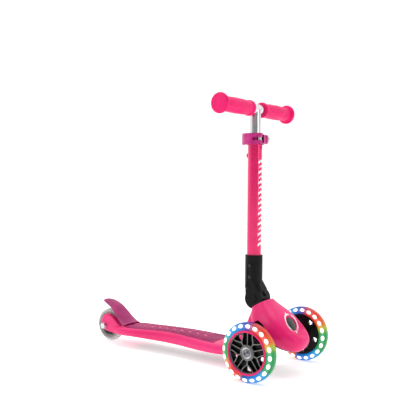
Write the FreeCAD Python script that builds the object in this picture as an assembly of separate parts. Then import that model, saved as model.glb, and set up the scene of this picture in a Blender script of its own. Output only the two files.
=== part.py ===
"""Three-wheeled folding kick scooter for small children.

The model is laid out from the front axle: X forward, Y to the rider's left, Z up, with the
floor at Z = 0.  Each piece is written to its own STEP file after it has been moved along X,
so that the origin lies on the floor in the middle of the whole scooter.  Millimetres.
"""

import FreeCAD, Part
import math
import os

Vector = FreeCAD.Vector

# ---------------------------------------------------------------- driving dimensions

FRONT_WHEEL_RADIUS = 60.5
FRONT_TYRE_HALF_WIDTH = 11.4
TRACK = 228.0
REAR_WHEEL_RADIUS = 40.0
REAR_TYRE_HALF_WIDTH = 10.5
WHEELBASE = 482.0

AXLE_RADIUS = 4.0
RUNNING_GAP = 0.05
MOVING_GAP = 0.4
BEARING_RADIUS = 11.0
BEARING_WIDTH = 7.0

COLUMN_X = -61.4
PIVOT_X = -51.0
PIVOT_Z = 150.0
KNUCKLE_RADIUS = 21.5
TONGUE_RADIUS = 15.0
KNUCKLE_HALF_WIDTH = 18.0
TONGUE_HALF_WIDTH = 9.0
PIVOT_PIN_RADIUS = 5.0

SOCKET_RADIUS = 19.0
SOCKET_TOP = 243.0
LOWER_TUBE_RADIUS = 15.5
LOWER_TUBE_BORE = 13.9
LOWER_TUBE_BOTTOM = 190.0
CLAMP_BOTTOM = 480.5
CLAMP_TOP = 504.2
INNER_TUBE_RADIUS = 12.0
INNER_TUBE_BORE = 10.0
INNER_TUBE_BOTTOM = 300.0
HANDLEBAR_Z = 557.5
HANDLEBAR_RADIUS = 11.0
HANDLEBAR_HALF_LENGTH = 135.5
HEIGHT_STEP = 65.0
HEIGHT_STEPS = 2

STEERING_SLOPE = 32.9
KINGPIN_X = -8.0
KINGPIN_Z = 58.0
LOCK_BUTTON_OFFSET = 16.5

LIGHT_COUNT = 20
LIGHT_PHASE = 3.0
SPOKE_COUNT = 5
REAR_SPOKE_COUNT = 10

# ---------------------------------------------------------------- small helpers


def box(x0, x1, y0, y1, z0, z1):
    """Box between two opposite corners."""
    return Part.makeBox(x1 - x0, y1 - y0, z1 - z0, Vector(x0, y0, z0))


def rod(start, direction, radius, length):
    """Round bar that starts at a point and runs along a direction."""
    return Part.makeCylinder(radius, length, start, direction)


def pipe(start, direction, outer, inner, length):
    """Round bar with a round hole right through it."""
    return rod(start, direction, outer, length).cut(rod(start, direction, inner, length))


def hexagon(start, direction, across_flats, length):
    """Six-sided prism, as a bolt head or a nut."""
    corner = across_flats / math.sqrt(3.0)
    points = []
    for index in range(7):
        angle = math.radians(60.0 * index)
        points.append(Vector(corner * math.cos(angle), corner * math.sin(angle), 0.0))
    prism = Part.Face(Part.makePolygon(points)).extrude(Vector(0.0, 0.0, length))
    turn = FreeCAD.Rotation(Vector(0.0, 0.0, 1.0), direction)
    prism.Placement = FreeCAD.Placement(start, turn)
    return prism


def join(pieces):
    """One solid from several that touch or overlap."""
    result = pieces[0]
    if len(pieces) > 1:
        result = pieces[0].fuse(pieces[1:])
    return result.removeSplitter()


def mirrored(shape):
    """The same piece on the other side of the scooter."""
    return shape.mirror(Vector(0.0, 0.0, 0.0), Vector(0.0, 1.0, 0.0))


def turned_about_y(points):
    """Solid of revolution about the Y axis from (radius, y) points."""
    outline = [Vector(radius, y, 0.0) for radius, y in points]
    outline.append(outline[0])
    face = Part.Face(Part.makePolygon(outline))
    return face.revolve(Vector(0.0, 0.0, 0.0), Vector(0.0, 1.0, 0.0), 360.0)


def side_plate(points, y0, y1):
    """Plate whose side view is a polygon of (x, z) points."""
    outline = [Vector(x, y0, z) for x, z in points]
    outline.append(outline[0])
    return Part.Face(Part.makePolygon(outline)).extrude(Vector(0.0, y1 - y0, 0.0))


def smooth_side_plate(points, y0, y1):
    """Plate whose side view is a smooth closed curve through (x, z) points."""
    curve = Part.BSplineCurve()
    curve.interpolate(Points=[Vector(x, y0, z) for x, z in points], PeriodicFlag=True)
    return Part.Face(Part.Wire(curve.toShape())).extrude(Vector(0.0, y1 - y0, 0.0))


def oval_wire(point_at, squareness, count=28):
    """Closed smooth curve through points of a rounded rectangle."""
    points = []
    for index in range(count):
        angle = 2.0 * math.pi * (index + 0.5) / count
        across = math.copysign(abs(math.cos(angle)) ** (2.0 / squareness), math.cos(angle))
        along = math.copysign(abs(math.sin(angle)) ** (2.0 / squareness), math.sin(angle))
        points.append(point_at(across, along))
    curve = Part.BSplineCurve()
    curve.interpolate(Points=points, PeriodicFlag=True)
    return Part.Wire(curve.toShape())


def rounded(shape, radius, wanted):
    """Fillet the edges that pass a test, or keep the shape where that cannot be made."""
    edges = [edge for edge in shape.Edges if wanted(edge)]
    if not edges:
        return shape
    try:
        result = shape.makeFillet(radius, edges)
    except Exception:
        return shape
    return result if result.isValid() and result.Volume > 0.0 else shape


X_AXIS = Vector(1.0, 0.0, 0.0)
Y_AXIS = Vector(0.0, 1.0, 0.0)
Z_AXIS = Vector(0.0, 0.0, 1.0)
STEERING_ANGLE = math.radians(STEERING_SLOPE)
STEERING_AXIS = Vector(math.cos(STEERING_ANGLE), 0.0, math.sin(STEERING_ANGLE))


def steering_point(along, above, y=0.0):
    """Point given along the steering axis and square to it, upwards."""
    x = KINGPIN_X + along * math.cos(STEERING_ANGLE) - above * math.sin(STEERING_ANGLE)
    z = KINGPIN_Z + along * math.sin(STEERING_ANGLE) + above * math.cos(STEERING_ANGLE)
    return Vector(x, y, z)


# ---------------------------------------------------------------- wheels

BEARING_OFFSET = 3.0
CORE_RIM_OUTER = 45.0
CORE_RIM_INNER = 40.6
CORE_HALF_WIDTH = 10.6
HUB_RADIUS = 16.0
COIL_RADIUS = 13.0
TRIM_OUTER = 44.8
TRIM_INNER = 41.0
LAMP_CIRCLE = 54.0
LAMP_HALF_LENGTH = 5.4
LAMP_HALF_HEIGHT = 3.6


def tyre_profile(outer, inner, half_width, tread_half, shoulder):
    """Half section of a tyre: flat tread strip, round shoulders, straight bead."""
    points = [(inner, -half_width + 1.2)]
    steps = 7
    for index in range(steps + 1):
        angle = math.radians(90.0 * index / steps)
        radius = outer - shoulder + shoulder * math.sin(angle)
        y = -tread_half - (half_width - tread_half) * math.cos(angle)
        points.append((radius, y))
    return points + [(radius, -y) for radius, y in reversed(points)]


def light_lens(angle):
    """Oval lamp that reaches through the tyre and shows on both of its sides."""
    oval = Part.Ellipse(Vector(0.0, 0.0, 0.0), LAMP_HALF_LENGTH, LAMP_HALF_HEIGHT)
    face = Part.Face(Part.Wire(oval.toShape()))
    lens = face.extrude(Vector(0.0, 0.0, 2.0 * FRONT_TYRE_HALF_WIDTH))
    lens.rotate(Vector(0.0, 0.0, 0.0), X_AXIS, 90.0)
    lens.translate(Vector(0.0, FRONT_TYRE_HALF_WIDTH, LAMP_CIRCLE))
    lens.rotate(Vector(0.0, 0.0, 0.0), Y_AXIS, angle)
    return lens


def front_skin(inner):
    """Filled outline of a front tyre."""
    return turned_about_y(tyre_profile(FRONT_WHEEL_RADIUS, inner, FRONT_TYRE_HALF_WIDTH, 3.0, 11.0))


def front_lights():
    """All lamps of one front wheel, flush with the tyre's sides."""
    skin = front_skin(46.0)
    angles = [LIGHT_PHASE + 360.0 * index / LIGHT_COUNT for index in range(LIGHT_COUNT)]
    return [light_lens(angle).common(skin) for angle in angles]


def front_tyre(lamps):
    """Clear tyre of a front wheel, with a seat for each lamp."""
    return front_skin(CORE_RIM_OUTER).cut(Part.Compound(lamps))


WEB_INNER_FACE = -3.0
WEB_OUTER_FACE = -1.0


def flat_bar(start, end, thickness, low, high):
    """Straight rib in the wheel's plane between two (radius, degrees) points."""
    first = Vector(start[0] * math.sin(math.radians(start[1])), 0.0, start[0] * math.cos(math.radians(start[1])))
    last = Vector(end[0] * math.sin(math.radians(end[1])), 0.0, end[0] * math.cos(math.radians(end[1])))
    length = (last - first).Length
    lean = math.degrees(math.atan2(last.x - first.x, last.z - first.z))
    bar = box(-thickness / 2.0, thickness / 2.0, low, high, 0.0, length)
    bar = bar.fuse(rod(Vector(0.0, low, 0.0), Y_AXIS, thickness / 2.0, high - low))
    bar.rotate(Vector(0.0, 0.0, 0.0), Y_AXIS, lean)
    bar.translate(first)
    return bar


def straight_spoke():
    """Thin rib from the hub straight to the rim."""
    return [flat_bar((14.0, 0.0), (41.0, 0.0), 1.7, WEB_OUTER_FACE, 6.5)]


def forked_spoke():
    """Y-shaped spoke: one stem that splits into two bent arms before the rim."""
    ribs = [flat_bar((14.0, 0.0), (23.0, 0.0), 2.2, WEB_OUTER_FACE, 7.0)]
    for side in (-1.0, 1.0):
        ribs.append(flat_bar((23.0, 0.0), (28.5, side * 11.0), 1.8, WEB_OUTER_FACE, 7.0))
        ribs.append(flat_bar((28.5, side * 11.0), (35.0, side * 18.0), 1.8, WEB_OUTER_FACE, 6.8))
        ribs.append(flat_bar((35.0, side * 18.0), (41.2, side * 20.0), 1.8, WEB_OUTER_FACE, 6.5))
    return ribs


def back_web():
    """Thin disc behind the spokes, with a window behind each forked one."""
    disc = pipe(Vector(0.0, WEB_INNER_FACE, 0.0), Y_AXIS, 41.0, 14.0, WEB_OUTER_FACE - WEB_INNER_FACE)
    windows = []
    for index in range(SPOKE_COUNT):
        window = Part.makeBox(9.0, 20.0, 11.0, Vector(-4.5, -10.0, 28.0))
        window = rounded(window, 2.5, lambda edge: edge.BoundBox.YLength > 15.0)
        window.rotate(Vector(0.0, 0.0, 0.0), Y_AXIS, 360.0 * (index + 0.5) / SPOKE_COUNT)
        windows.append(window)
    return disc.cut(windows)


def front_core():
    """Spoked plastic core with the bearing seats and the pocket for the coil."""
    outer_face = CORE_HALF_WIDTH - 0.2
    rim = turned_about_y([
        (CORE_RIM_INNER, -CORE_HALF_WIDTH), (CORE_RIM_OUTER, -CORE_HALF_WIDTH),
        (CORE_RIM_OUTER, outer_face), (CORE_RIM_INNER, outer_face),
        (CORE_RIM_INNER - 1.6, 2.0), (CORE_RIM_INNER - 1.6, -2.0)])
    hub = turned_about_y([
        (5.0, -CORE_HALF_WIDTH), (HUB_RADIUS - 1.0, -CORE_HALF_WIDTH), (HUB_RADIUS, -CORE_HALF_WIDTH + 1.0),
        (HUB_RADIUS, 7.6), (HUB_RADIUS - 1.2, 9.2), (12.6, 11.4), (5.0, 11.4)])
    pieces = [rim, hub, back_web()]
    for index in range(SPOKE_COUNT):
        for rib in straight_spoke():
            rib.rotate(Vector(0.0, 0.0, 0.0), Y_AXIS, 360.0 * index / SPOKE_COUNT)
            pieces.append(rib)
        for rib in forked_spoke():
            rib.rotate(Vector(0.0, 0.0, 0.0), Y_AXIS, 360.0 * (index + 0.5) / SPOKE_COUNT)
            pieces.append(rib)
    core = join(pieces)
    seat = rod(Vector(0.0, -30.0, 0.0), Y_AXIS, BEARING_RADIUS, 60.0)
    pocket = rod(Vector(0.0, -BEARING_OFFSET, 0.0), Y_AXIS, COIL_RADIUS, 2.0 * BEARING_OFFSET)
    return core.cut([seat, pocket])


def trim_ring():
    """Coloured ring that is pressed on the outer face of the core."""
    face = CORE_HALF_WIDTH - 0.2
    return turned_about_y([
        (TRIM_INNER, face), (TRIM_OUTER, face), (TRIM_OUTER, face + 1.2),
        (TRIM_OUTER - 0.7, face + 1.9), (TRIM_INNER + 0.7, face + 1.9), (TRIM_INNER, face + 1.2)])


def bearing(y0):
    """Sealed ball bearing, drawn as one ring with a groove between its races."""
    bore = AXLE_RADIUS + RUNNING_GAP
    y1 = y0 + BEARING_WIDTH
    return turned_about_y([
        (bore, y0), (6.2, y0), (6.2, y0 + 0.5), (9.0, y0 + 0.5), (9.0, y0), (BEARING_RADIUS, y0),
        (BEARING_RADIUS, y1), (9.0, y1), (9.0, y1 - 0.5), (6.2, y1 - 0.5), (6.2, y1), (bore, y1)])


def front_bearings():
    """The two bearings of a front wheel."""
    return [bearing(BEARING_OFFSET), bearing(-BEARING_OFFSET - BEARING_WIDTH)]


def front_coil():
    """Copper coil in the hub that feeds the lamps as the wheel turns."""
    inner = COIL_RADIUS - 2.6
    start = Vector(0.0, -BEARING_OFFSET + MOVING_GAP, 0.0)
    return pipe(start, Y_AXIS, COIL_RADIUS, inner, 2.0 * (BEARING_OFFSET - MOVING_GAP))


def on_front_axle(shape, side):
    """Put a wheel piece, drawn with its outer side to +Y, on the left or right stub axle."""
    placed = shape.copy()
    placed.translate(Vector(0.0, TRACK / 2.0, FRONT_WHEEL_RADIUS))
    return placed if side == "left" else mirrored(placed)


REAR_CORE_RADIUS = 27.0
REAR_HUB_RADIUS = 14.0


def on_rear_axle(shape):
    """Put a wheel piece on the rear axle."""
    placed = shape.copy()
    placed.translate(Vector(-WHEELBASE, 0.0, REAR_WHEEL_RADIUS))
    return placed


def rear_tyre():
    """Clear tyre of the rear wheel."""
    return turned_about_y(
        tyre_profile(REAR_WHEEL_RADIUS, REAR_CORE_RADIUS, REAR_TYRE_HALF_WIDTH, 3.0, 9.0))


def rear_core():
    """Spoked core of the rear wheel."""
    half = REAR_TYRE_HALF_WIDTH - 1.2
    pieces = [
        pipe(Vector(0.0, -half, 0.0), Y_AXIS, REAR_CORE_RADIUS, REAR_CORE_RADIUS - 3.0, 2.0 * half),
        rod(Vector(0.0, -half, 0.0), Y_AXIS, REAR_HUB_RADIUS, 2.0 * half)]
    for index in range(REAR_SPOKE_COUNT):
        spoke = flat_bar((12.0, 0.0), (REAR_CORE_RADIUS - 2.0, 0.0), 1.8, -5.5, 5.5)
        spoke.rotate(Vector(0.0, 0.0, 0.0), Y_AXIS, 360.0 * index / REAR_SPOKE_COUNT)
        pieces.append(spoke)
    return join(pieces).cut(rod(Vector(0.0, -20.0, 0.0), Y_AXIS, BEARING_RADIUS, 40.0))


def rear_bearings():
    """The two bearings of the rear wheel."""
    return [bearing(BEARING_OFFSET - 0.7), bearing(-BEARING_OFFSET + 0.7 - BEARING_WIDTH)]


def rear_spacer():
    """Sleeve between the two inner races."""
    gap = BEARING_OFFSET - 0.7
    return pipe(Vector(0.0, -gap, 0.0), Y_AXIS, 6.0, AXLE_RADIUS + RUNNING_GAP, 2.0 * gap)


# ---------------------------------------------------------------- steering truck

ARM_END = 103.0
AXLE_INNER_END = 72.0


def arm_section(y, x, z, radius):
    """Circular section of an axle arm."""
    return Part.Wire(Part.makeCircle(radius, Vector(x, y, z), Y_AXIS))


def truck_bridge(fasteners):
    """Cross beam that tilts about the kingpin and carries both stub axles."""
    barrel = rod(steering_point(-13.7, 0.0), STEERING_AXIS, 11.0, 35.4)
    lobe = rod(steering_point(9.0, LOCK_BUTTON_OFFSET - 6.0), STEERING_AXIS, 6.5, 12.0)
    z = FRONT_WHEEL_RADIUS
    sections = [(0.0, -1.0, z + 1.5, 12.5), (14.0, -2.5, z + 1.2, 11.5), (30.0, -5.0, z + 0.8, 9.6),
                (50.0, -5.0, z + 0.4, 8.2), (80.0, -1.0, z, 8.0), (98.0, 0.0, z, 8.0)]
    wires = [arm_section(y, x, height, radius) for y, x, height, radius in sections]
    arm = Part.makeLoft(wires, True, False)
    tip = rod(Vector(0.0, 97.0, z), Y_AXIS, 6.2, ARM_END - 97.0)
    beam = join([barrel, lobe, arm, tip, mirrored(arm), mirrored(tip)])
    bore = rod(steering_point(-30.0, 0.0), STEERING_AXIS, AXLE_RADIUS + RUNNING_GAP, 70.0)
    catch = rod(steering_point(14.0, LOCK_BUTTON_OFFSET - 6.0), STEERING_AXIS, 3.4, 12.0)
    return beam.cut([bore, catch] + fasteners)


def front_axle(side):
    """Bolt with a domed, socketed head that holds one front wheel in the truck's arm."""
    start = Vector(0.0, AXLE_INNER_END, FRONT_WHEEL_RADIUS)
    face = TRACK / 2.0 + BEARING_OFFSET + BEARING_WIDTH + MOVING_GAP
    shank = rod(start, Y_AXIS, AXLE_RADIUS, face - AXLE_INNER_END + 1.0)
    flange = rod(Vector(0.0, face, FRONT_WHEEL_RADIUS), Y_AXIS, 8.6, 1.3)
    blank = rod(Vector(0.0, face, FRONT_WHEEL_RADIUS), Y_AXIS, 7.2, 5.0)
    ball = Part.makeSphere(8.2, Vector(0.0, face - 3.4, FRONT_WHEEL_RADIUS))
    socket = hexagon(Vector(0.0, face + 2.2, FRONT_WHEEL_RADIUS), Y_AXIS, 5.0, 6.0)
    bolt = join([shank, flange, blank.common(ball)]).cut(socket)
    return bolt if side == "left" else mirrored(bolt)


def magnet_sleeve(side):
    """Magnet on the axle, inside the coil, that makes the lamps light up."""
    length = 2.0 * (BEARING_OFFSET - MOVING_GAP)
    start = Vector(0.0, TRACK / 2.0 - BEARING_OFFSET + MOVING_GAP, FRONT_WHEEL_RADIUS)
    sleeve = pipe(start, Y_AXIS, 9.6, AXLE_RADIUS, length)
    return sleeve if side == "left" else mirrored(sleeve)


# ---------------------------------------------------------------- nose and front chassis

CHASSIS_HALF_WIDTH = 17.0
SLOT_REAR = -17.0
SLOT_FRONT = 25.0
ROOF = 24.0

# Level, front, back, half width of the egg-shaped nose.
NOSE_SECTIONS = [
    (44.0, 42.0, -10.0, 6.0), (47.0, 50.5, -22.0, 16.0), (54.0, 61.0, -32.0, 29.0),
    (64.0, 67.0, -40.0, 40.0), (76.0, 65.5, -46.0, 48.0), (90.0, 55.0, -50.0, 51.5),
    (104.0, 40.5, -52.0, 51.0), (118.0, 25.5, -54.0, 45.5), (132.0, 6.0, -55.0, 35.5),
    (142.0, -9.5, -56.0, 28.5), (151.0, -22.0, -56.0, 23.0)]

# Level, front, back, half width of the neck that runs down into the deck.
NECK_SECTIONS = [
    (46.0, -8.0, -134.0, 47.0), (54.0, -8.0, -110.0, 44.0), (66.0, -8.0, -90.0, 40.0),
    (80.0, -8.0, -76.5, 36.5), (94.0, -8.0, -69.7, 33.0), (110.0, -10.0, -63.5, 29.5),
    (124.0, -12.0, -58.5, 26.0), (138.0, -16.0, -56.0, 24.5)]


def level_loft(sections, inset, squareness):
    """Solid through horizontal rounded sections, all drawn in by the same inset."""
    wires = []
    for level, front, back, half_width in sections:
        middle = (front + back) / 2.0
        reach = (front - back) / 2.0 - inset
        width = half_width - inset

        def point_at(across, along, level=level, middle=middle, reach=reach, width=width):
            return Vector(middle + reach * across, width * along, level)

        wires.append(oval_wire(point_at, squareness))
    return Part.makeLoft(wires, True, False)


def nose_solid(inset):
    """The nose and neck as one filled shape."""
    nose = [(level, front, back, half) for level, front, back, half in NOSE_SECTIONS]
    if inset > 0.0:
        nose = [row for row in nose if row[3] > inset + 5.0]
    return level_loft(nose, inset, 2.6).fuse(level_loft(NECK_SECTIONS, inset, 2.8))


def wheel_arch(margin):
    """Side view of the opening that the axle arms pass through."""
    outline = [
        (-37.0 - margin, 15.0), (-37.0 - margin, 98.0), (-31.0 - margin, 107.5 + margin),
        (-20.0, 112.0 + margin), (-8.0 + margin, 106.0 + margin), (2.0 + margin, 95.5 + margin),
        (8.5 + margin, 85.0), (11.0 + margin, 75.0), (14.5 + margin, 66.0), (21.0 + margin, 58.0 + margin),
        (34.0 + margin, 52.5 + margin), (50.0, 48.0 + margin), (72.0, 45.0 + margin), (72.0, 15.0)]
    return side_plate(outline, -90.0, 90.0)


def knuckle_room(radius, half_width):
    """Round space in which the folding joint turns."""
    return rod(Vector(PIVOT_X, -half_width, PIVOT_Z), Y_AXIS, radius, 2.0 * half_width)


BUTTON_FACE = 59.8


# Distance from the button's axis and level along it of the dish round the button.
DISH_OUTLINE = [
    (0.0, 60.4), (21.0, 60.4), (25.0, 61.0), (29.0, 62.8), (33.0, 65.8), (37.0, 70.2), (41.0, 76.0), (60.0, 110.0)]


def button_dish(sink):
    """Round field that the lock button sits in, sunk deeper by a wall's thickness on request."""
    outline = [Vector(radius, 0.0, level - sink) for radius, level in DISH_OUTLINE]
    outline.append(Vector(0.0, 0.0, DISH_OUTLINE[-1][1] - sink))
    outline.append(outline[0])
    dish = Part.Face(Part.makePolygon(outline)).revolve(Vector(0.0, 0.0, 0.0), Z_AXIS, 360.0)
    turn = FreeCAD.Rotation(Z_AXIS, STEERING_AXIS)
    dish.Placement = FreeCAD.Placement(steering_point(0.0, LOCK_BUTTON_OFFSET), turn)
    return dish


def cup_rim():
    """Everything above the slanted rim of the cup that holds the folding joint."""
    outline = [(-110.0, 101.0), (-63.0, 124.5), (-23.0, 149.0), (10.0, 170.0), (10.0, 260.0), (-110.0, 260.0)]
    return side_plate(outline, -60.0, 60.0)


def joint_room():
    """Space in the nose that the folding joint sweeps."""
    half = KNUCKLE_HALF_WIDTH + MOVING_GAP + 0.4
    front = knuckle_room(KNUCKLE_RADIUS + 1.0, half)
    rear = knuckle_room(KNUCKLE_RADIUS + 8.0, half).common(box(-100.0, PIVOT_X, -60.0, 60.0, 80.0, 200.0))
    return [front, rear, rod(Vector(PIVOT_X, -22.0, PIVOT_Z), Y_AXIS, 9.5, 44.0)]


def hood(skin_inside):
    """Coloured nose cover: thin shell over the front chassis and the steering truck."""
    hollow = skin_inside.cut(button_dish(3.2))
    boss = rod(steering_point(40.0, LOCK_BUTTON_OFFSET), STEERING_AXIS, 20.0, 60.0)
    shell = nose_solid(0.0).cut(hollow.cut(boss))
    button_hole = rod(steering_point(30.0, LOCK_BUTTON_OFFSET), STEERING_AXIS, 15.2, 60.0)
    lead_in = Part.makeCone(15.2, 17.2, 2.6, steering_point(58.0, LOCK_BUTTON_OFFSET), STEERING_AXIS)
    deck_plane = box(-140.0, -36.0, -60.0, 60.0, 30.0, 49.8)
    dish = button_dish(0.0)
    cover = shell.cut([wheel_arch(0.0), dish, button_hole, lead_in, deck_plane, cup_rim()] + joint_room())
    return max(cover.Solids, key=lambda solid: solid.Volume)


def hood_liner(skin_inside, chassis):
    """Thin dark wall that closes the nose from below and shows under its edge."""
    wall = wheel_arch(0.0).cut(wheel_arch(-2.6))
    keep = box(8.0, 66.0, -60.0, 60.0, 44.5, 82.0)
    barrel_room = rod(steering_point(-40.0, 0.0), STEERING_AXIS, 11.8, 90.0)
    solids = nose_solid(0.6).common(wall).common(keep).cut([chassis, barrel_room]).Solids
    return max(solids, key=lambda solid: solid.Volume)


CHASSIS_OUTLINE = [
    (-122.0, 31.0), (-30.0, 31.0), (26.0, 66.0), (3.5, 98.0), (-14.0, 108.0), (-30.0, 117.0),
    (-53.0, 117.0), (-58.0, 100.0), (-66.0, 80.0), (-80.0, 60.0), (-94.0, 41.0), (-122.0, 38.0)]


def front_chassis(tools):
    """Moulded block that joins the deck, the kingpin and the folding joint."""
    block = side_plate(CHASSIS_OUTLINE, -CHASSIS_HALF_WIDTH, CHASSIS_HALF_WIDTH)
    block = rounded(block, 3.0, lambda edge: abs(edge.CenterOfMass.y) > CHASSIS_HALF_WIDTH - 0.1)
    corner = steering_point(SLOT_REAR, -60.0, -40.0)
    slot = Part.makeBox(SLOT_FRONT - SLOT_REAR, 80.0, ROOF + 60.0)
    turn = FreeCAD.Rotation(Y_AXIS, -STEERING_SLOPE)
    slot.Placement = FreeCAD.Placement(corner, turn)
    guide = rod(steering_point(SLOT_FRONT + 1.0, LOCK_BUTTON_OFFSET), STEERING_AXIS, 10.0, 24.0)
    block = join([block.cut(slot), guide])
    return block.cut(tools)


def kingpin():
    """Bolt about which the truck tilts, with its head below."""
    shank = rod(steering_point(-34.0, 0.0), STEERING_AXIS, AXLE_RADIUS, 66.0)
    head = hexagon(steering_point(-39.0, 0.0), STEERING_AXIS, 13.0, 5.2)
    return join([shank, head])


def kingpin_room():
    """Counterbore through which the kingpin is put in."""
    return rod(steering_point(-80.0, 0.0), STEERING_AXIS, 8.2, 46.0)


def steering_bushings():
    """Rubber rings at the two ends of the truck's barrel."""
    rear = pipe(steering_point(SLOT_REAR, 0.0), STEERING_AXIS, 10.0, AXLE_RADIUS, 3.0)
    front = pipe(steering_point(SLOT_FRONT - 3.0, 0.0), STEERING_AXIS, 10.0, AXLE_RADIUS, 3.0)
    return [rear, front]


BUTTON_TRAVEL = 4.0


def lock_button():
    """Round push button that stops the truck from tilting."""
    rim = rod(steering_point(BUTTON_FACE - 3.6, LOCK_BUTTON_OFFSET), STEERING_AXIS, 14.6, 2.6)
    ball = Part.makeSphere(40.0, steering_point(BUTTON_FACE - 38.4, LOCK_BUTTON_OFFSET))
    cap = rod(steering_point(BUTTON_FACE - 3.6, LOCK_BUTTON_OFFSET), STEERING_AXIS, 13.4, 8.0)
    stem = rod(steering_point(BUTTON_FACE - 20.0, LOCK_BUTTON_OFFSET), STEERING_AXIS, 5.0, 17.0)
    return join([rim, cap.common(ball), stem])


def lock_plunger():
    """Steel pin on the end of the lock button's stem."""
    return rod(steering_point(31.5, LOCK_BUTTON_OFFSET), STEERING_AXIS, 3.0, BUTTON_FACE - 20.0 - 31.5)


def coil_spring(start, direction, radius, wire, length, turns):
    """Compression spring as a round wire swept along a helix."""
    pitch = (length - wire) / turns
    helix = Part.makeHelix(pitch, length - wire, radius)
    section = Part.Wire(Part.makeCircle(wire / 2.0, Vector(radius, 0.0, 0.0), Y_AXIS))
    spring = Part.Wire(helix).makePipeShell([section], True, True)
    turn = FreeCAD.Rotation(Z_AXIS, direction)
    offset = direction * (wire / 2.0)
    spring.Placement = FreeCAD.Placement(start + offset, turn)
    return spring


def lock_spring():
    """Spring that pushes the lock button out again."""
    return coil_spring(steering_point(50.3, LOCK_BUTTON_OFFSET), STEERING_AXIS, 7.0, 1.0, 5.6, 3.0)


# ---------------------------------------------------------------- folding joint


def pivot_point(distance, angle, y=0.0):
    """Point round the folding joint's pivot; angle 0 is the front, 90 straight up."""
    turn = math.radians(angle)
    return Vector(PIVOT_X + distance * math.cos(turn), y, PIVOT_Z + distance * math.sin(turn))


KNUCKLE_FOOT_Z = 117.0


def fold_knuckle(tools):
    """Fixed half of the folding joint: a round tongue on a broad foot."""
    tongue = knuckle_room(TONGUE_RADIUS, TONGUE_HALF_WIDTH)
    stem = side_plate(
        [(-54.0, KNUCKLE_FOOT_Z), (-30.0, KNUCKLE_FOOT_Z), (-37.2, 145.0), (-58.0, 137.0)],
        -TONGUE_HALF_WIDTH, TONGUE_HALF_WIDTH)
    foot = box(-54.0, -30.0, -CHASSIS_HALF_WIDTH, CHASSIS_HALF_WIDTH, KNUCKLE_FOOT_Z, KNUCKLE_FOOT_Z + 2.4)
    return join([tongue, stem, foot]).cut(tools)


def fold_pin():
    """Pivot of the folding joint, with a flat round head at each end."""
    half = KNUCKLE_HALF_WIDTH + MOVING_GAP
    pin = rod(Vector(PIVOT_X, -half, PIVOT_Z), Y_AXIS, PIVOT_PIN_RADIUS, 2.0 * half)
    cap = Part.makeCone(8.5, 7.0, 1.6, Vector(PIVOT_X, half, PIVOT_Z), Y_AXIS)
    return join([pin, cap, mirrored(cap)])


def knuckle_bolts():
    """Two bolts that hold the tongue's foot on the chassis."""
    return [rod(Vector(-42.0, y, KNUCKLE_FOOT_Z - 20.0), Z_AXIS, 2.5, 22.4) for y in (-13.0, 13.0)]


FOLD_BUTTON_ANGLE = 30.0
FOLD_BUTTON_SHELF = 17.0
FOLD_BUTTON_HEAD = 20.2
FOLD_BUTTON_OUTER = 24.6
FOLD_BUTTON_RADIUS = 6.0
FOLD_BUTTON_DIRECTION = Vector(
    math.cos(math.radians(FOLD_BUTTON_ANGLE)), 0.0, math.sin(math.radians(FOLD_BUTTON_ANGLE)))


def fold_button():
    """Push button at the front of the socket that lets the column fold."""
    stem = rod(pivot_point(18.4, FOLD_BUTTON_ANGLE), FOLD_BUTTON_DIRECTION, 2.2, 2.4)
    depth = FOLD_BUTTON_OUTER - 1.0 - FOLD_BUTTON_HEAD
    head = rod(pivot_point(FOLD_BUTTON_HEAD, FOLD_BUTTON_ANGLE), FOLD_BUTTON_DIRECTION, FOLD_BUTTON_RADIUS, depth)
    edge = Part.makeCone(FOLD_BUTTON_RADIUS, FOLD_BUTTON_RADIUS - 1.0, 1.0,
                         pivot_point(FOLD_BUTTON_OUTER - 1.0, FOLD_BUTTON_ANGLE), FOLD_BUTTON_DIRECTION)
    return join([stem, head, edge])


def fold_button_room():
    """Stepped hole for the fold button and its spring."""
    head = rod(pivot_point(FOLD_BUTTON_SHELF, FOLD_BUTTON_ANGLE), FOLD_BUTTON_DIRECTION,
               FOLD_BUTTON_RADIUS + RUNNING_GAP, 30.0)
    stem = rod(pivot_point(10.0, FOLD_BUTTON_ANGLE), FOLD_BUTTON_DIRECTION, 2.2 + RUNNING_GAP, 20.0)
    return [head, stem]


def fold_button_spring():
    """Spring behind the fold button's head."""
    start = pivot_point(FOLD_BUTTON_SHELF + 0.1, FOLD_BUTTON_ANGLE)
    length = FOLD_BUTTON_HEAD - FOLD_BUTTON_SHELF - 0.2
    return coil_spring(start, FOLD_BUTTON_DIRECTION, 4.4, 0.7, length, 2.5)


# ---------------------------------------------------------------- deck

# Place along X, half width, top, bottom of the moulded deck.
DECK_SECTIONS = [
    (-436.0, 41.0, 46.5, 25.5), (-418.0, 44.5, 47.5, 24.5), (-395.0, 45.5, 48.5, 24.5),
    (-360.0, 43.0, 50.0, 24.0), (-320.0, 40.0, 52.2, 23.0), (-280.0, 39.0, 53.5, 22.5),
    (-240.0, 40.5, 53.5, 21.5), (-200.0, 44.5, 52.0, 20.0), (-160.0, 49.0, 50.0, 19.5),
    (-120.0, 53.0, 49.4, 21.0), (-80.0, 52.0, 49.4, 25.0), (-46.0, 46.0, 49.4, 29.0)]

# Place along X and half width of the foot mat.
MAT_OUTLINE = [
    (-404.0, 36.5), (-380.0, 35.8), (-345.0, 33.2), (-310.0, 30.8), (-275.0, 30.0),
    (-245.0, 31.6), (-215.0, 34.6), (-180.0, 37.2), (-150.0, 40.0), (-138.0, 40.5)]


HOLLOW_REAR = -398.0


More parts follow.
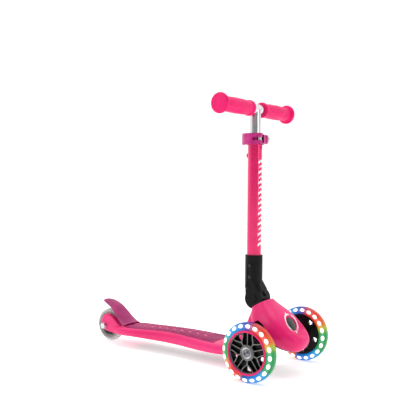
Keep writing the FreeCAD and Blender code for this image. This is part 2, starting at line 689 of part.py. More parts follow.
def deck_solid(inset, lift, drop):
    """Filled deck shape, drawn in at the sides, moved up, and deepened below."""
    wires = []
    for x, half_width, top, bottom in DECK_SECTIONS:
        low = bottom - drop
        middle = (top + low) / 2.0 + lift
        reach = (top - low) / 2.0
        width = half_width - inset

        def point_at(across, along, x=x, middle=middle, reach=reach, width=width):
            return Vector(x, width * across, middle + reach * along)

        wires.append(oval_wire(point_at, 3.4))
    return Part.makeLoft(wires, True, False)


def mat_prism(inset):
    """Plan outline of the foot mat as a tall prism."""
    side = [(x, half - inset) for x, half in MAT_OUTLINE]
    points = [Vector(x, half, 30.0) for x, half in side]
    points += [Vector(x, -half, 30.0) for x, half in reversed(side)]
    left = Part.BSplineCurve()
    left.interpolate(Points=points[:len(side)])
    right = Part.BSplineCurve()
    right.interpolate(Points=points[len(side):])
    edges = [
        left.toShape(), Part.makeLine(points[len(side) - 1], points[len(side)]),
        right.toShape(), Part.makeLine(points[-1], points[0])]
    return Part.Face(Part.Wire(edges)).extrude(Vector(0.0, 0.0, 40.0))


ARM_INNER = 13.2
ARM_OUTER = 27.0


def fork_arm():
    """One side of the fork that holds the rear wheel, tall like a small fender."""
    outline = [
        (-400.0, 24.6), (-421.0, 23.2), (-437.0, 23.6), (-454.0, 25.2), (-470.0, 27.4), (-483.0, 30.6),
        (-491.6, 37.6), (-493.4, 46.0), (-492.0, 54.5), (-487.0, 63.5), (-479.5, 69.6), (-470.0, 69.2), (-460.0, 65.0),
        (-448.0, 57.6), (-436.0, 49.0), (-424.0, 44.2), (-400.0, 42.0)]
    arm = smooth_side_plate(outline, ARM_INNER, ARM_OUTER)
    return rounded(arm, 3.0, lambda edge: edge.CenterOfMass.y > ARM_OUTER - 0.1)


def deck_shell(filled, tools):
    """Coloured deck: a deep tray, open below, with the rear fork."""
    wheel_room = rod(
        Vector(-WHEELBASE, -ARM_INNER, REAR_WHEEL_RADIUS), Y_AXIS, REAR_WHEEL_RADIUS + 6.0, 2.0 * ARM_INNER)
    front_room = box(-46.5, 40.0, -60.0, 60.0, 10.0, 60.0)
    chassis_room = [
        box(-123.0, -40.0, -17.3, 17.3, 20.0, 44.0),
        side_plate(CHASSIS_OUTLINE, -CHASSIS_HALF_WIDTH - 0.3, CHASSIS_HALF_WIDTH + 0.3)]
    pocket = mat_prism(0.0).cut(deck_solid(0.0, -3.0, 0.0))
    hollow = deck_solid(3.2, -6.4, 20.0).common(box(HOLLOW_REAR, -40.0, -60.0, 60.0, -30.0, 60.0))
    tray = filled.cut([wheel_room, front_room]).cut(hollow).cut(pocket)
    for room in brake_room() + chassis_room:
        tray = tray.cut(room)
    arm = fork_arm().cut(brake_foot_room())
    return tray.cut(deck_screws()).fuse([arm, mirrored(arm)]).cut(tools)


def deck_mat(filled_up):
    """Soft foot mat that lies in the deck's pocket."""
    return mat_prism(0.3).common(filled_up).cut(deck_solid(0.0, -3.0, 0.0))


def deck_frame(tools):
    """Ribbed carrier under the deck shell."""
    rear = HOLLOW_REAR + 2.0
    ribs = [box(rear, -124.0, -16.0, -12.0, 25.0, 41.0), box(rear, -124.0, 12.0, 16.0, 25.0, 41.0)]
    for index in range(7):
        x = rear + 10.0 + 43.0 * index
        ribs.append(box(x, x + 3.5, -34.0, 34.0, 27.0, 40.0))
    ribs.append(box(rear, -124.0, -16.0, 16.0, 38.0, 41.0))
    inside = deck_solid(4.2, -7.4, 2.0)
    return join(ribs).common(inside).cut(tools)


def deck_screws():
    """Screws that hold the carrier in the shell, from below."""
    screws = []
    for x in (-370.0, -282.0, -150.0):
        for y in (-7.0, 7.0):
            head = rod(Vector(x, y, 36.2), Z_AXIS, 3.4, 1.8)
            shank = rod(Vector(x, y, 36.4), Z_AXIS, 1.6, 6.4)
            screws.append(join([head, shank]))
    return screws


# ---------------------------------------------------------------- rear axle and brake

BRAKE_PIVOT_X = -416.0
BRAKE_PIVOT_Z = 38.0


def rear_axle():
    """Hexagon bolt through the fork and the rear wheel."""
    start = Vector(-WHEELBASE, -ARM_OUTER - 1.0, REAR_WHEEL_RADIUS)
    shank = rod(start, Y_AXIS, AXLE_RADIUS, 2.0 * ARM_OUTER + 7.0)
    washer = rod(Vector(-WHEELBASE, -ARM_OUTER - 1.2, REAR_WHEEL_RADIUS), Y_AXIS, 8.0, 1.2)
    head = hexagon(Vector(-WHEELBASE, -ARM_OUTER - 6.2, REAR_WHEEL_RADIUS), Y_AXIS, 13.0, 5.2)
    return join([shank, washer, head])


def rear_axle_nut():
    """Lock nut on the far end of the rear axle."""
    start = Vector(-WHEELBASE, ARM_OUTER, REAR_WHEEL_RADIUS)
    nut = hexagon(start, Y_AXIS, 13.0, 5.5)
    return nut.cut(rod(Vector(-WHEELBASE, 0.0, REAR_WHEEL_RADIUS), Y_AXIS, AXLE_RADIUS, 60.0))


def axle_sleeves():
    """Sleeves that keep the rear wheel in the middle of the fork."""
    inner = BEARING_OFFSET - 0.7 + BEARING_WIDTH + MOVING_GAP
    sleeve = pipe(
        Vector(-WHEELBASE, inner, REAR_WHEEL_RADIUS), Y_AXIS, 6.2, AXLE_RADIUS, ARM_INNER - inner)
    return [sleeve, mirrored(sleeve)]


# Place along X, height of the outer face, half width of the brake plate.
BRAKE_SECTIONS = [
    (-504.0, 100.5, 5.0), (-498.0, 102.0, 12.5), (-489.5, 101.4, 17.3), (-479.0, 97.8, 20.4),
    (-466.5, 91.9, 21.6), (-458.0, 86.1, 22.4), (-450.5, 79.7, 23.6), (-442.0, 71.5, 25.2),
    (-432.5, 62.4, 27.0), (-422.5, 54.8, 28.8), (-412.5, 50.8, 29.4)]


def brake_fender():
    """Foot brake: a leaf spring-loaded plate that curls up over the rear wheel."""
    thickness = 4.0
    wires = []
    count = len(BRAKE_SECTIONS)
    for index, (x, z, half_width) in enumerate(BRAKE_SECTIONS):
        before = BRAKE_SECTIONS[max(index - 1, 0)]
        after = BRAKE_SECTIONS[min(index + 1, count - 1)]
        along = Vector(after[0] - before[0], 0.0, after[1] - before[1]).normalize()
        normal = Vector(-along.z, 0.0, along.x)
        if normal.z < 0.0:
            normal = normal * -1.0
        middle = Vector(x, 0.0, z) - normal * (thickness / 2.0)

        def point_at(across, along_thickness, middle=middle, normal=normal, half_width=half_width):
            side = Vector(0.0, half_width * across, 0.0)
            bow = normal * (-2.2 * across * across + 1.1)
            return middle + side + bow + normal * (thickness / 2.0 * along_thickness)

        wires.append(oval_wire(point_at, 3.0))
    plate = Part.makeLoft(wires, True, False)
    hinge = rod(Vector(BRAKE_PIVOT_X, -11.0, BRAKE_PIVOT_Z), Y_AXIS, 5.5, 22.0)
    web = side_plate(
        [(-432.0, 57.5), (-422.0, 51.0), (-412.0, 48.2), (-411.5, 38.0), (-420.5, 36.0), (-434.0, 54.0)],
        -11.0, 11.0)
    bore = rod(Vector(BRAKE_PIVOT_X, -30.0, BRAKE_PIVOT_Z), Y_AXIS, 2.5 + RUNNING_GAP, 60.0)
    return join([plate, hinge, web]).cut(bore)


def brake_foot_room():
    """Space in the deck for the brake's foot, its spring and its travel."""
    round_room = rod(Vector(BRAKE_PIVOT_X, -11.6, BRAKE_PIVOT_Z), Y_AXIS, 7.0, 23.2)
    ramp = side_plate(
        [(-441.0, 70.0), (-404.0, 62.0), (-404.0, 46.0), (-409.0, 34.0), (-424.0, 31.0), (-448.0, 40.0)],
        -11.6, 11.6)
    spring_room = rod(Vector(BRAKE_PIVOT_X, 11.5, BRAKE_PIVOT_Z), Y_AXIS, 5.2, 4.3)
    return [round_room, ramp, spring_room]


def brake_room():
    """The foot's room and, above it, the room of the wide plate."""
    flare = side_plate(
        [(-452.0, 80.0), (-407.5, 70.0), (-407.5, 45.6), (-424.0, 44.0), (-452.0, 44.0)], -31.0, 31.0)
    return brake_foot_room() + [flare]


def brake_pin():
    """Pin that the brake turns about."""
    return rod(Vector(BRAKE_PIVOT_X, -16.0, BRAKE_PIVOT_Z), Y_AXIS, 2.5, 32.0)


def brake_spring():
    """Torsion spring beside the brake's foot, drawn as its coil."""
    coil = pipe(Vector(BRAKE_PIVOT_X, 12.0, BRAKE_PIVOT_Z), Y_AXIS, 4.6, 2.5 + RUNNING_GAP, 3.4)
    return coil


# ---------------------------------------------------------------- column


def column_point(radius, angle, z):
    """Point round the column's axis; angle 0 is the front, 90 the rider's left."""
    turn = math.radians(angle)
    return Vector(COLUMN_X + radius * math.cos(turn), radius * math.sin(turn), z)


def around_column(radius, z0, z1):
    """Round bar on the column's axis."""
    return rod(Vector(COLUMN_X, 0.0, z0), Z_AXIS, radius, z1 - z0)


def socket_bolts():
    """Two screws that hold the lower tube in the socket."""
    screws = []
    for z in (220.5, 196.0):
        head = rod(Vector(COLUMN_X, -SOCKET_RADIUS + 0.4, z), Y_AXIS, 3.6, 2.0)
        shank = rod(Vector(COLUMN_X, -SOCKET_RADIUS + 1.0, z), Y_AXIS, 2.0, 5.4)
        screws.append(join([head, shank]))
    return screws


def column_socket(tools):
    """Turning half of the folding joint, with the socket for the lower tube."""
    cheeks = knuckle_room(KNUCKLE_RADIUS, KNUCKLE_HALF_WIDTH)
    barrel = around_column(SOCKET_RADIUS, 171.0, SOCKET_TOP)
    rear = COLUMN_X - 12.2
    front = COLUMN_X + SOCKET_RADIUS
    flank = side_plate(
        [(PIVOT_X - KNUCKLE_RADIUS + 0.4, PIVOT_Z), (rear + 0.4, 162.0), (rear, 178.0), (COLUMN_X - 6.0, 206.0),
         (COLUMN_X + 6.0, 206.0), (COLUMN_X + 12.0, 190.0), (-37.5, 172.0), (-31.0, 158.0), (-30.5, PIVOT_Z)],
        -KNUCKLE_HALF_WIDTH, KNUCKLE_HALF_WIDTH)
    flank = rounded(flank, 4.5, lambda edge: abs(edge.CenterOfMass.y) > KNUCKLE_HALF_WIDTH - 0.1
                    and edge.CenterOfMass.z > PIVOT_Z + 1.0)
    bulge = side_plate(
        [(-60.0, 186.0), (front + 0.2, 184.0), (-41.0, 181.0), (-37.6, 175.0), (-34.4, 168.0), (-32.4, 158.0),
         (-32.0, PIVOT_Z), (-60.0, PIVOT_Z)], -12.0, 12.0)
    bulge = rounded(bulge, 2.4, lambda edge: abs(edge.CenterOfMass.y) > 11.9 and edge.CenterOfMass.x > front)
    half = TONGUE_HALF_WIDTH + MOVING_GAP
    tongue_room = knuckle_room(TONGUE_RADIUS + 0.6, half)
    wedge = side_plate(
        [(PIVOT_X, PIVOT_Z), (-101.9, 181.8), (-101.9, 100.0), (0.0, 100.0), (0.0, PIVOT_Z - 1.5)], -half, half)
    pin_bore = rod(Vector(PIVOT_X, -40.0, PIVOT_Z), Y_AXIS, PIVOT_PIN_RADIUS + RUNNING_GAP, 80.0)
    tube_bore = around_column(LOWER_TUBE_RADIUS, LOWER_TUBE_BOTTOM, SOCKET_TOP + 5.0)
    panel = box(COLUMN_X - 5.5, COLUMN_X + 5.5, -SOCKET_RADIUS - 1.0, -SOCKET_RADIUS + 1.8, 175.0, 227.0)
    panel = rounded(panel, 5.0, lambda edge: edge.BoundBox.YLength > 2.0)
    rim = around_column(SOCKET_RADIUS + 3.0, SOCKET_TOP - 5.6, SOCKET_TOP - 4.8).cut(
        around_column(SOCKET_RADIUS - 0.6, SOCKET_TOP - 7.0, SOCKET_TOP))
    body = join([cheeks, barrel, flank, bulge])
    return body.cut([tongue_room, wedge, pin_bore, tube_bore, panel, rim] + fold_button_room() + tools)


SNAP_Z = 458.0
SLIT_BOTTOM = 471.0


def lower_tube():
    """Painted outer tube of the column, slit at the top for the clamp."""
    tube = around_column(LOWER_TUBE_RADIUS, LOWER_TUBE_BOTTOM, CLAMP_TOP - 1.2)
    bore = around_column(LOWER_TUBE_BORE, LOWER_TUBE_BOTTOM - 1.0, CLAMP_TOP)
    slit = box(COLUMN_X, COLUMN_X + 20.0, -1.6, 1.6, SLIT_BOTTOM, CLAMP_TOP)
    hole = rod(Vector(COLUMN_X - 20.0, 0.0, SNAP_Z), X_AXIS, 5.0 + RUNNING_GAP, 12.0)
    return tube.cut([bore, slit, hole] + socket_bolts())


def tube_bushing():
    """Plastic sleeve that guides the handlebar tube at the top of the column."""
    sleeve = around_column(LOWER_TUBE_BORE, 474.0, CLAMP_TOP - 1.2)
    flange = around_column(LOWER_TUBE_RADIUS + 0.6, CLAMP_TOP - 1.2, CLAMP_TOP + 1.2)
    bore = around_column(INNER_TUBE_RADIUS + RUNNING_GAP, 460.0, 520.0)
    slit = box(COLUMN_X, COLUMN_X + 20.0, -1.6, 1.6, 460.0, 520.0)
    return join([sleeve, flange]).cut([bore, slit])


CLAMP_RADIUS = 18.8
BOLT_X = COLUMN_X + 22.0
EAR_OUTER = 9.0
EAR_FRONT = COLUMN_X + 27.5


def clamp_collar(tools):
    """Split ring round the top of the lower tube, with two ears for the bolt."""
    ring = around_column(CLAMP_RADIUS, CLAMP_BOTTOM, CLAMP_TOP - 1.2)
    ears = box(COLUMN_X + 12.0, EAR_FRONT, -EAR_OUTER, EAR_OUTER, CLAMP_BOTTOM + 1.5, CLAMP_TOP - 2.7)
    ears = rounded(ears, 4.0, lambda edge: edge.CenterOfMass.x > EAR_FRONT - 0.5 and edge.BoundBox.YLength > 9.0)
    body = join([ring, ears])
    bore = around_column(LOWER_TUBE_RADIUS, CLAMP_BOTTOM - 1.0, CLAMP_TOP)
    slit = box(COLUMN_X, COLUMN_X + 40.0, -1.6, 1.6, CLAMP_BOTTOM - 1.0, CLAMP_TOP)
    return body.cut([bore, slit] + tools)


CLAMP_MIDDLE = (CLAMP_BOTTOM + CLAMP_TOP) / 2.0
BARREL_Y = -17.0
BARREL_RADIUS = 4.0


def clamp_bolt():
    """Bolt through the ears; its head end carries the lever's barrel."""
    return rod(Vector(BOLT_X, BARREL_Y, CLAMP_MIDDLE), Y_AXIS, 2.5, -BARREL_Y + EAR_OUTER + 9.4)


def clamp_barrel():
    """Cross barrel that the lever turns about."""
    start = Vector(BOLT_X, BARREL_Y, CLAMP_MIDDLE - 10.6)
    return rod(start, Z_AXIS, BARREL_RADIUS, 21.2)


def clamp_nut():
    """Thumb nut with its washer on the rider's left."""
    washer = rod(Vector(BOLT_X, EAR_OUTER, CLAMP_MIDDLE), Y_AXIS, 5.2, 1.4)
    nut = rod(Vector(BOLT_X, EAR_OUTER + 1.4, CLAMP_MIDDLE), Y_AXIS, 5.2, 5.6)
    nose = Part.makeCone(5.2, 3.6, 1.6, Vector(BOLT_X, EAR_OUTER + 7.0, CLAMP_MIDDLE), Y_AXIS)
    bore = rod(Vector(BOLT_X, 0.0, CLAMP_MIDDLE), Y_AXIS, 2.5, 40.0)
    return join([washer, nut, nose]).cut(bore)


def clamp_washer():
    """Curved seat between the collar's ear and the lever's cam."""
    block = box(BOLT_X - 4.8, BOLT_X + 5.4, -EAR_OUTER - 2.2, -EAR_OUTER, CLAMP_BOTTOM + 2.5, CLAMP_TOP - 3.7)
    return block.cut(rod(Vector(BOLT_X, -20.0, CLAMP_MIDDLE), Y_AXIS, 2.5, 40.0))


def clamp_lever():
    """Forked cam lever that wraps round the rider's-right side of the collar."""
    low = CLAMP_MIDDLE - 11.9
    high = CLAMP_MIDDLE + 11.9
    cam = rod(Vector(BOLT_X, BARREL_Y, low), Z_AXIS, 5.6, high - low)
    inner = CLAMP_RADIUS + 4.4
    outer = inner + 5.2
    centre = Vector(COLUMN_X, 0.0, low)
    arc = rod(centre, Z_AXIS, outer, high - low).cut(rod(centre, Z_AXIS, inner, high - low))
    sweep = side_sector(-62.0, -172.0, low, high)
    arc = arc.common(sweep)
    root = Part.Face(Part.makePolygon([
        Vector(BOLT_X - 0.5, BARREL_Y - 5.5, low), column_point(outer - 0.1, -63.0, low),
        column_point(inner + 0.2, -63.0, low), Vector(BOLT_X - 4.0, BARREL_Y + 3.4, low),
        Vector(BOLT_X - 0.5, BARREL_Y - 5.5, low)])).extrude(Vector(0.0, 0.0, high - low))
    tip = rod(column_point((inner + outer) / 2.0, -172.0, low), Z_AXIS, (outer - inner) / 2.0, high - low)
    lever = join([cam, arc, root, tip])
    slot = box(BOLT_X - 12.5, BOLT_X + 10.0, BARREL_Y - 10.0, BARREL_Y + 10.0, CLAMP_MIDDLE - 3.2,
               CLAMP_MIDDLE + 3.2)
    bore = rod(Vector(BOLT_X, BARREL_Y, low - 1.0), Z_AXIS, BARREL_RADIUS + RUNNING_GAP, high - low + 2.0)
    return lever.cut([slot, bore])


def side_sector(start, end, z0, z1):
    """Wedge round the column between two angles."""
    reach = 60.0
    points = [Vector(COLUMN_X, 0.0, z0)]
    steps = 8
    for index in range(steps + 1):
        angle = start + (end - start) * index / steps
        points.append(column_point(reach, angle, z0))
    points.append(points[0])
    return Part.Face(Part.makePolygon(points)).extrude(Vector(0.0, 0.0, z1 - z0))


SNAP_TRAVEL = 3.0
GROOVE_DEPTH = 1.0


def snap_button():
    """Spring catch at the back of the lower tube that marks the handlebar's heights."""
    inner_face = INNER_TUBE_RADIUS - GROOVE_DEPTH + 0.3
    tip = rod(Vector(COLUMN_X - 16.0, 0.0, SNAP_Z), X_AXIS, 2.6, 16.0 - inner_face)
    head = rod(Vector(COLUMN_X - LOWER_TUBE_RADIUS - 3.2, 0.0, SNAP_Z), X_AXIS, 5.0, 3.6)
    dome = Part.makeCone(3.4, 5.0, 1.2, Vector(COLUMN_X - LOWER_TUBE_RADIUS - 4.4, 0.0, SNAP_Z), X_AXIS)
    return join([tip, head, dome])


def inner_tube_glide():
    """Plastic ring on the lower end of the handlebar tube."""
    ring = around_column(LOWER_TUBE_BORE - RUNNING_GAP, INNER_TUBE_BOTTOM - 1.5, INNER_TUBE_BOTTOM + 10.0)
    return ring.cut(around_column(INNER_TUBE_RADIUS, INNER_TUBE_BOTTOM, INNER_TUBE_BOTTOM + 20.0)).cut(
        around_column(INNER_TUBE_BORE, INNER_TUBE_BOTTOM - 5.0, INNER_TUBE_BOTTOM + 5.0))


# ---------------------------------------------------------------- handlebar


def tbar():
    """Handlebar: an upright tube with a welded crossbar."""
    upright = around_column(INNER_TUBE_RADIUS, INNER_TUBE_BOTTOM, HANDLEBAR_Z)
    crossbar = rod(
        Vector(COLUMN_X, -HANDLEBAR_HALF_LENGTH, HANDLEBAR_Z), Y_AXIS, HANDLEBAR_RADIUS,
        2.0 * HANDLEBAR_HALF_LENGTH)
    body = join([upright, crossbar])
    bore = around_column(INNER_TUBE_BORE, INNER_TUBE_BOTTOM - 1.0, HANDLEBAR_Z - 2.0)
    cross_bore = rod(
        Vector(COLUMN_X, -HANDLEBAR_HALF_LENGTH - 1.0, HANDLEBAR_Z), Y_AXIS, HANDLEBAR_RADIUS - 1.8,
        2.0 * HANDLEBAR_HALF_LENGTH + 2.0)
    groove = box(
        COLUMN_X - INNER_TUBE_RADIUS - 1.0, COLUMN_X - INNER_TUBE_RADIUS + GROOVE_DEPTH, -3.2, 3.2,
        INNER_TUBE_BOTTOM + 14.0, SNAP_Z + 8.0)
    holes = []
    for index in range(HEIGHT_STEPS + 1):
        z = SNAP_Z - HEIGHT_STEP * index
        holes.append(rod(Vector(COLUMN_X - 20.0, 0.0, z), X_AXIS, 3.0, 15.0))
    return body.cut([bore, cross_bore, groove] + holes)


# Distance from the middle and radius of the grip's outline.
GRIP_END = 139.6
GRIP_START = 22.0
GRIP_OUTLINE = [
    (GRIP_START, 14.4), (22.6, 16.2), (24.0, 16.9), (28.6, 16.9), (30.4, 16.0), (31.6, 14.6), (40.0, 14.9),
    (60.0, 15.6), (80.0, 16.0), (100.0, 15.4), (118.0, 14.4), (128.0, 14.0), (130.4, 14.6), (131.0, 18.6),
    (132.4, 20.6), (134.2, 21.3), (136.0, 21.2), (137.8, 20.3), (139.0, 18.6), (GRIP_END, 16.4), (GRIP_END, 9.0)]


def grip():
    """Rubber grip with a flange at each end, closed at the outer end."""
    points = [(0.5, GRIP_END)] + [(radius, y) for y, radius in reversed(GRIP_OUTLINE)]
    points += [(HANDLEBAR_RADIUS, GRIP_START), (HANDLEBAR_RADIUS, HANDLEBAR_HALF_LENGTH),
               (0.5, HANDLEBAR_HALF_LENGTH)]
    shape = turned_about_y(points)
    shape.translate(Vector(COLUMN_X, 0.0, HANDLEBAR_Z))
    return shape


# ---------------------------------------------------------------- export

FRONT_REACH = 67.7
ORIGIN_X = (FRONT_REACH - WHEELBASE - REAR_WHEEL_RADIUS) / 2.0


def save(name, shape):
    """Write one piece, moved so that the origin is under the middle of the scooter."""
    if isinstance(shape, (list, tuple)):
        shape = Part.Compound(list(shape))
    placed = shape.copy()
    placed.translate(Vector(-ORIGIN_X, 0.0, 0.0))
    placed.exportStep("parts/" + name + ".step")
    limits = placed.BoundBox
    print("%-24s solids %2d  valid %s  x %8.1f %8.1f  y %7.1f %7.1f  z %7.1f %7.1f" % (
        name, len(placed.Solids), placed.isValid(), limits.XMin, limits.XMax, limits.YMin, limits.YMax,
        limits.ZMin, limits.ZMax))


def main():
    """Make every piece of the scooter."""
    os.makedirs("parts", exist_ok=True)

    lamps = front_lights()
    wheel = {
        "tyre": [front_tyre(lamps)], "lights": lamps, "core": [front_core()], "trim_ring": [trim_ring()],
        "bearings": front_bearings(), "coil": [front_coil()]}
    for side in ("left", "right"):
        for name, pieces in wheel.items():
            save("front_" + side + "_" + name, [on_front_axle(piece, side) for piece in pieces])
    save("rear_tyre", on_rear_axle(rear_tyre()))
    save("rear_core", on_rear_axle(rear_core()))
    save("rear_bearings", [on_rear_axle(piece) for piece in rear_bearings()])
    save("rear_spacer", on_rear_axle(rear_spacer()))

    axles = [front_axle("left"), front_axle("right")]
    save("truck_bridge", truck_bridge(axles))
    save("front_axle_bolts", axles)
    save("axle_magnets", [magnet_sleeve("left"), magnet_sleeve("right")])

    pin = kingpin()
    save("steering_kingpin", pin)
    save("steering_bushings", steering_bushings())
    bolts = knuckle_bolts()
    save("knuckle_bolts", bolts)
    stem_room = rod(steering_point(34.6, LOCK_BUTTON_OFFSET), STEERING_AXIS, 5.0 + RUNNING_GAP, 40.0)
    plunger_room = rod(steering_point(SLOT_FRONT + 1.5, LOCK_BUTTON_OFFSET), STEERING_AXIS, 3.0 + RUNNING_GAP, 40.0)
    chassis = front_chassis([pin, kingpin_room(), stem_room, plunger_room] + bolts)
    save("front_chassis", chassis)
    save("lock_button", lock_button())
    save("lock_plunger", lock_plunger())
    save("lock_spring", lock_spring())

    skin_inside = nose_solid(2.8)
    save("hood", hood(skin_inside))
    save("hood_liner", hood_liner(skin_inside, chassis))

    hinge_pin = fold_pin()
    save("fold_pin", hinge_pin)
    save("fold_knuckle", fold_knuckle([hinge_pin] + bolts))
    save("fold_button", fold_button())
    save("fold_button_spring", fold_button_spring())

    filled = deck_solid(0.0, 0.0, 0.0)
    filled_up = deck_solid(0.0, 0.5, 0.0)
    screws = deck_screws()
    axle = rear_axle()
    brake_axle = brake_pin()
    shell = deck_shell(filled, [axle, brake_axle])
    save("deck_shell", shell)
    save("deck_mat", deck_mat(filled_up))
    save("deck_frame", max(deck_frame(screws).cut(shell).Solids, key=lambda solid: solid.Volume))
    save("deck_screws", screws)
    save("rear_axle", axle)
    save("rear_axle_nut", rear_axle_nut())
    save("rear_axle_sleeves", axle_sleeves())
    save("brake_fender", brake_fender())
    save("brake_pin", brake_axle)
    save("brake_spring", brake_spring())

    side_screws = socket_bolts()
    save("socket_bolts", side_screws)
    save("column_socket", column_socket(side_screws))
    save("lower_tube", lower_tube())
    save("tube_bushing", tube_bushing())
    clamp_pin = clamp_bolt()
    save("clamp_collar", clamp_collar([clamp_pin]))
    save("clamp_bolt", clamp_pin)
    save("clamp_barrel", clamp_barrel().cut(clamp_pin))
    save("clamp_nut", clamp_nut())
    save("clamp_washer", clamp_washer())
    save("clamp_lever", clamp_lever())
    save("snap_button", snap_button())
    save("inner_tube_glide", inner_tube_glide())
    save("tbar", tbar())
    save("grip_left", grip())
    save("grip_right", mirrored(grip()))


main()
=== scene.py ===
import math

import bmesh
import bpy
from mathutils import Matrix, Vector
from mathutils.bvhtree import BVHTree


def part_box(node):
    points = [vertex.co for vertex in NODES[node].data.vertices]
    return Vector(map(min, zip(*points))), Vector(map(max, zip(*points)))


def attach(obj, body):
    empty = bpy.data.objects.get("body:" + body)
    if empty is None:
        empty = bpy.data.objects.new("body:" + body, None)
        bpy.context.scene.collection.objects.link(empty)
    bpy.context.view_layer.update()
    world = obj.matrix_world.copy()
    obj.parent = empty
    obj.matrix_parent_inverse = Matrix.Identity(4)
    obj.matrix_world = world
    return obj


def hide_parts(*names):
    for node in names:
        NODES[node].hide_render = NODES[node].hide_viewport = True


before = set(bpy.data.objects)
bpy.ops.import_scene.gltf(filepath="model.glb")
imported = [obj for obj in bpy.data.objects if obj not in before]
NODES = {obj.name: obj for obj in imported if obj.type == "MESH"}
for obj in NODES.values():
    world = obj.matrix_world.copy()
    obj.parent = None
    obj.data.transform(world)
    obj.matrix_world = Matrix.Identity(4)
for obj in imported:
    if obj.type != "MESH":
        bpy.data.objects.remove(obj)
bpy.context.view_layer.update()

# ---------------------------------------------------------------- places, from the CAD


def middle(node):
    low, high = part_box(node)
    return (low + high) / 2.0


NEAR_HUB = middle("front_right_tyre")
FAR_HUB = middle("front_left_tyre")
REAR_HUB = middle("rear_tyre")
COLUMN = middle("lower_tube")
BAR = middle("tbar")
BAR.z = middle("grip_left").z
TUBE_RADIUS = 0.0155
STEER = math.radians(32.9)
UP_AXIS = Vector((math.cos(STEER), 0.0, math.sin(STEER)))

# ---------------------------------------------------------------- materials


class Paint:
    """A node material built up from a Principled shader and Object coordinates."""

    def __init__(self, name):
        self.material = bpy.data.materials.new(name)
        self.material.use_nodes = True
        self.tree = self.material.node_tree
        self.tree.nodes.clear()
        self.out = self.node("ShaderNodeOutputMaterial")
        self.shader = self.node("ShaderNodeBsdfPrincipled")
        self.join(self.shader.outputs[0], self.out.inputs[0])
        self.coord = self.node("ShaderNodeTexCoord")
        self.place = self.coord.outputs["Object"]

    def node(self, kind, **values):
        made = self.tree.nodes.new(kind)
        for key, value in values.items():
            setattr(made, key, value)
        return made

    def join(self, a, b):
        self.tree.links.new(a, b)

    def noise(self, scale, detail=3.0, rough=0.55, place=None):
        made = self.node("ShaderNodeTexNoise")
        made.inputs["Scale"].default_value = scale
        made.inputs["Detail"].default_value = detail
        made.inputs["Roughness"].default_value = rough
        self.join(place or self.place, made.inputs["Vector"])
        return made.outputs["Fac"]

    def ramp(self, value, stops, smooth="LINEAR"):
        made = self.node("ShaderNodeValToRGB")
        made.color_ramp.interpolation = smooth
        ends = made.color_ramp.elements
        ends[0].position, ends[0].color = stops[0][0], (*stops[0][1], 1.0)
        ends[1].position, ends[1].color = stops[-1][0], (*stops[-1][1], 1.0)
        for position, color in stops[1:-1]:
            ends.new(position).color = (*color, 1.0)
        self.join(value, made.inputs["Fac"])
        return made.outputs["Color"]

    def math(self, operation, a, b=None, clamp=False):
        made = self.node("ShaderNodeMath", operation=operation, use_clamp=clamp)
        for socket, value in zip(made.inputs, (a, b)):
            if value is None:
                continue
            if isinstance(value, (int, float)):
                socket.default_value = value
            else:
                self.join(value, socket)
        return made.outputs[0]

    def fit(self, value, low, high, to_low=0.0, to_high=1.0):
        made = self.node("ShaderNodeMapRange")
        made.interpolation_type = "SMOOTHSTEP"
        self.join(value, made.inputs["Value"])
        for key, number in (("From Min", low), ("From Max", high), ("To Min", to_low), ("To Max", to_high)):
            made.inputs[key].default_value = number
        return made.outputs["Result"]

    def mix(self, factor, a, b, blend="MIX"):
        made = self.node("ShaderNodeMix", data_type="RGBA", blend_type=blend)
        for socket, value in ((made.inputs[0], factor), (made.inputs[6], a), (made.inputs[7], b)):
            if isinstance(value, (int, float)):
                socket.default_value = value
            elif isinstance(value, tuple):
                socket.default_value = (*value, 1.0)
            else:
                self.join(value, socket)
        return made.outputs[2]

    def xyz(self):
        made = self.node("ShaderNodeSeparateXYZ")
        self.join(self.place, made.inputs[0])
        return made.outputs

    def bump(self, height, strength, distance):
        made = self.node("ShaderNodeBump")
        made.inputs["Strength"].default_value = strength
        made.inputs["Distance"].default_value = distance
        self.join(height, made.inputs["Height"])
        self.join(made.outputs[0], self.shader.inputs["Normal"])

    def set(self, **values):
        for key, value in values.items():
            self.shader.inputs[key.replace("_", " ")].default_value = value


def surface(name, low, high, patch=25.0, roughness=(0.3, 0.42), metallic=0.0, coat=0.0, grain=1400.0,
            relief=0.15, depth=0.0002, **more):
    """Colour that drifts between two tones, uneven gloss and a fine grain."""
    paint = Paint(name)
    paint.join(paint.ramp(paint.noise(patch), [(0.35, low), (0.65, high)]), paint.shader.inputs["Base Color"])
    paint.join(paint.fit(paint.noise(patch * 6.0), 0.3, 0.7, *roughness), paint.shader.inputs["Roughness"])
    paint.bump(paint.noise(grain, 2.0), relief, depth)
    paint.set(Metallic=metallic, Coat_Weight=coat, Coat_Roughness=0.12, **more)
    return paint


def pick(*parts):
    """Three linear colour values from an sRGB triple."""
    return tuple(((c / 255.0 + 0.055) / 1.055) ** 2.4 if c > 10 else c / 3294.6 for c in parts)


PINK_DEEP = pick(218, 4, 92)

